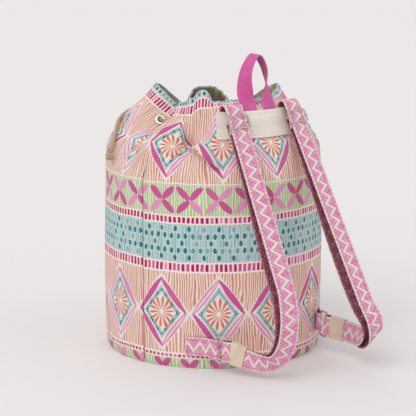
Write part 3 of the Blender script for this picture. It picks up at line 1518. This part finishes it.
def metal():
    paint = Paint("brushed_steel", 0.28)
    x, y, z = paint.place()
    paint.shader.inputs["Metallic"].default_value = 1.0
    paint.shader.inputs["Specular IOR Level"].default_value = 0.5
    grain = paint.noise(x, y, z * 6.0, scale=0.8, detail=4.0)
    worn = paint.noise(x, y, z, scale=0.25, detail=3.0)
    paint.colour = paint.blend("#B9B2A8", "#E4E0DA", (grain * 0.6 + worn * 0.5).over(0.55, 0.5))
    return paint.done(grain * 0.4 + worn, 0.00006)


def make_materials():
    MATERIALS.update(
        strap=strap_webbing(),
        handle=handle_webbing(),
        patch=plain_cloth("patch_cotton", "#E6D6C2", "#CDB79E"),
        yoke=yoke_canvas(),
        cord=cord_cotton(),
        steel=metal(),
    )


# ---------------------------------------------------------------- the printed canvas

CREAM = "#F3E9DF"
PEACH = "#D89884"
PEACH_DARK = "#C27B64"
PINK = "#CC5497"
PINK_LIGHT = "#E294BE"
MAGENTA = "#B8085E"
GREEN = "#B7D398"
GREEN_DARK = "#8FBE6C"
BLUE = "#A9CDCF"
BLUE_DARK = "#7FB0B6"
TEAL = "#107F88"
CORAL = "#DB7259"
SEAM_DARK = "#4E332F"


# Millimetres round the cloth and up it from the bottom edge
PRINT_TURN = 2 * math.pi * 150.0
PRINT_SEAM = SEAM_ANGLE * math.radians(BODY_RADIUS) * 1000
# Lozenges: the row's middle, half their width and height, and how far round they begin
LOZENGES = ((76.0, 38.5, 52.0, 0.0), (306.0, 37.0, 50.0, 6.0))
# Ticks: bottom and top of the row
TICKS = ((134.0, 145.5), (199.5, 208.5), (364.5, 378.0), (14.0, 19.0))
# Dots on blue, in a lattice and in one row: bottom, top and middle of the band, the lines' ways and
# their rise, a dot's width and height, how many periods go round the bag, and the dots in each
DOTS = (
    (146.5, 198.5, 172.5, (1.0, -1.0), 19.5, (6.0, 17.5), 24, 8),
    (379.0, 400.0, 384.0, (1.0,), 0.0, (9.0, 9.0), 18, 6),
)
# Crossed leaves on green: bottom, top and middle of the band, and their size
LEAVES = ((210.0, 251.5, 230.75, 20.5), (-2.0, 13.0, 0.0, 14.0))
EDGE_LINES = (20.2, 132.8, 146.4, 198.9, 209.2, 252.4, 363.6, 378.6)


class CanvasPrint(Paint):
    """Bands round the bag: streaked grounds, lozenges, ticks, dots and crossed leaves."""

    def __init__(self):
        super().__init__("printed_canvas", 0.9, 0.15)
        self.raw_x, self.raw_y = raw_x, raw_y = self.uv()
        wobble = self.noise(raw_x, raw_y, 3.0, scale=0.05) - 0.5
        wobble_y = self.noise(raw_x, raw_y, 9.0, scale=0.045) - 0.5
        self.front = raw_x.over(PRINT_SEAM, 0.5)
        self.x, self.y = raw_x + wobble * 3.0, raw_y + wobble_y * 2.6 - self.front * 1.5
        self.rough = self.noise(raw_x, raw_y, 5.0, scale=0.55, detail=3.0) - 0.5

        drift = self.noise(raw_x * 0.05, raw_y * 0.012, 1.0) - 0.5
        phase = (raw_x + drift * 14.0) * (2 * math.pi / 3.7)
        thick = self.noise(raw_x * 0.45, raw_y * 0.016, 2.0, detail=3.0) - 0.5
        streak = (phase.sine() * 0.9 + thick * 2.0 + self.rough * 0.6).over(-0.1, 0.45)
        tone = self.noise(raw_x * 0.25, raw_y * 0.015, 7.0)
        peach = self.blend(PEACH, PEACH_DARK, tone.over(0.56, 0.18))
        green = self.blend(GREEN, GREEN_DARK, tone.over(0.42, 0.25))
        blue = self.blend(BLUE, BLUE_DARK, tone.over(0.5, 0.25))
        self.colour = self.blend(CREAM, peach, streak * 0.9 + 0.08)
        self.green = self.blend(CREAM, green, streak * 0.7 + 0.22)
        self.blue = self.blend(self.blend(CREAM, BLUE, 0.6), blue, streak * 0.8 + 0.15)

    def band(self, low, high):
        return self.y.over(low, 0.8) * self.y.under(high, 0.8)

    def lozenges(self, middle, half, high, begin):
        """Nested lozenges with a rosette in the middle."""
        inside = self.band(middle - high - 4, middle + high + 4)
        number, cx = (self.x - begin).cell(PRINT_TURN / 12)
        cy = self.y - middle
        ax, ay = cx.size() / half, cy.size() / high
        reach = ax + ay + self.rough * 0.05
        side = ax - ay
        shape = reach.under(1.0, 0.03) * inside
        self.over(self.blend(CREAM, BLUE, 0.16), reach.under(1.07, 0.03) * inside)
        # A leaf along each side, with its vein
        leaf = (1 - side * side) * 0.120 + 0.014
        off_middle = (reach - 0.90).size()
        quarter = self.chance(number, cx.over(0.0, 0.01) + cy.over(0.0, 0.01) * 2.0)
        pinks = self.blend(PINK, PINK_LIGHT, quarter.over(0.5, 0.3))
        self.over(pinks, (off_middle - leaf).under(0.0, 0.03) * inside)
        vein = (off_middle - leaf * 0.22).under(0.0, 0.02) * inside
        self.over(CREAM, vein * quarter.over(0.55, 0.1) * side.size().under(0.75, 0.1))
        steps, place = (side * 9.0).cell(1.0)
        dash = ((reach - 0.62).size() * 8.5 + place.size() * 1.7).under(1.0, 0.25)
        teal = self.blend(BLUE_DARK, TEAL, self.chance(steps, number).over(0.6, 0.3))
        self.over(teal, dash * shape)
        angle = cy.made("ARCTAN2", cx)
        away = (cx * cx + cy * cy * 0.55).made("POWER", 0.5) / half
        petals = (angle * 14.0).sine() * 0.5 + 0.5
        length = petals * 0.20 + 0.22 + self.chance((angle * 2.2).made("ROUND"), number) * 0.08
        flower = (away - length).under(0.0, 0.05) * petals.over(0.40, 0.3)
        self.over(self.blend(CORAL, PEACH, away.under(0.22, 0.2)), flower * shape)
        self.over(CREAM, away.under(0.07, 0.03) * shape)

    def ticks(self, low, high):
        number, place = self.x.cell(PRINT_TURN / 150)
        bar = self.band(low + 0.6, high - 0.6) * (place.size() + self.rough * 0.9).under(2.05, 0.5)
        shade = self.chance(number, low)
        self.over(CREAM, self.band(low - 1.0, high + 1.0))
        magenta = self.blend(MAGENTA, PINK, shade.over(0.48, 0.15) * (1 - self.front * 0.8))
        self.over(self.blend(magenta, PINK_LIGHT, shade.over(0.86, 0.05)), bar)

    def dots(self, low, high, middle, ways, rise, size, periods, count):
        """A blue band with ringed dots along lines that go up and down."""
        wide, tall = size
        inside = self.band(low, high)
        self.over(self.blue, inside)
        period = PRINT_TURN / periods
        for flip in ways:
            step, place = self.x.cell(period / count)
            saw = ((self.x - place).there_and_back(period) * 4.0 - 1.0) * flip
            level = self.y - middle - saw * rise
            dot = place * place / wide + level * level / tall + self.rough * 0.4
            ring = place * place / (wide * 1.6) + level * level / (tall * 1.4)
            self.over(CREAM, ring.under(1.0, 0.3) * inside)
            shade = self.chance(step, flip * 3.0 + low)
            teal = self.blend(TEAL, BLUE_DARK, shade.over(0.72, 0.2))
            self.over(teal, dot.under(1.0, 0.25) * inside)

    def leaves(self, low, high, middle, size):
        """A green band with pairs of leaves that cross."""
        inside = self.band(low, high)
        self.over(self.green, inside)
        number, cx = self.x.cell(PRINT_TURN / 24)
        cy = self.y - middle
        for flip in (1.0, -1.0):
            along = (cx + cy * flip) * 0.7071
            across = (cx - cy * flip) * 0.7071
            reach = along.size() - size * 0.62
            leaf = reach * reach / (size * size * 0.33) + across * across / 21.0 + self.rough * 0.25
            shade = self.chance(number, flip + along.over(0.0, 0.01) * 5.0)
            pinks = self.blend(PINK, PINK_LIGHT, shade.over(0.5, 0.2))
            self.over(pinks, leaf.under(1.0, 0.15) * inside)

    def edges_and_seams(self):
        """Cream lines between bands, worn places, and a dark line where the two panels meet."""
        for edge in EDGE_LINES:
            self.over(CREAM, (self.y - edge).size().under(0.75, 0.5))
        self.over(PEACH_DARK, (self.rough + 0.5).over(0.62, 0.2) * 0.12)
        for place in (-PRINT_SEAM, PRINT_SEAM, 2000 * math.pi * BODY_RADIUS - PRINT_SEAM):
            line = (self.raw_x - place).size().under(0.6, 0.35) * self.raw_y.under(300.0, 30.0)
            self.over(SEAM_DARK, line * 0.85)


def canvas_print():
    paint = CanvasPrint()
    for row in LOZENGES:
        paint.lozenges(*row)
    for row in TICKS:
        paint.ticks(*row)
    for row in DOTS:
        paint.dots(*row)
    for row in LEAVES:
        paint.leaves(*row)
    paint.edges_and_seams()
    return paint.done(weave(paint.raw_x, paint.raw_y, 1.3), 0.00018)


eyelet_planes()
make_camera()
make_stage()
make_materials()
make_cords()
make_wall()
make_base_cloth()
make_yoke_cloth()
make_handle()
for side, word in SIDES:
    make_strap(side, word)
    make_tab(side, word)
for name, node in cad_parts.items():
    if name.startswith(("eyelet", "slider", "ring")):
        give(node, MATERIALS["steel"])
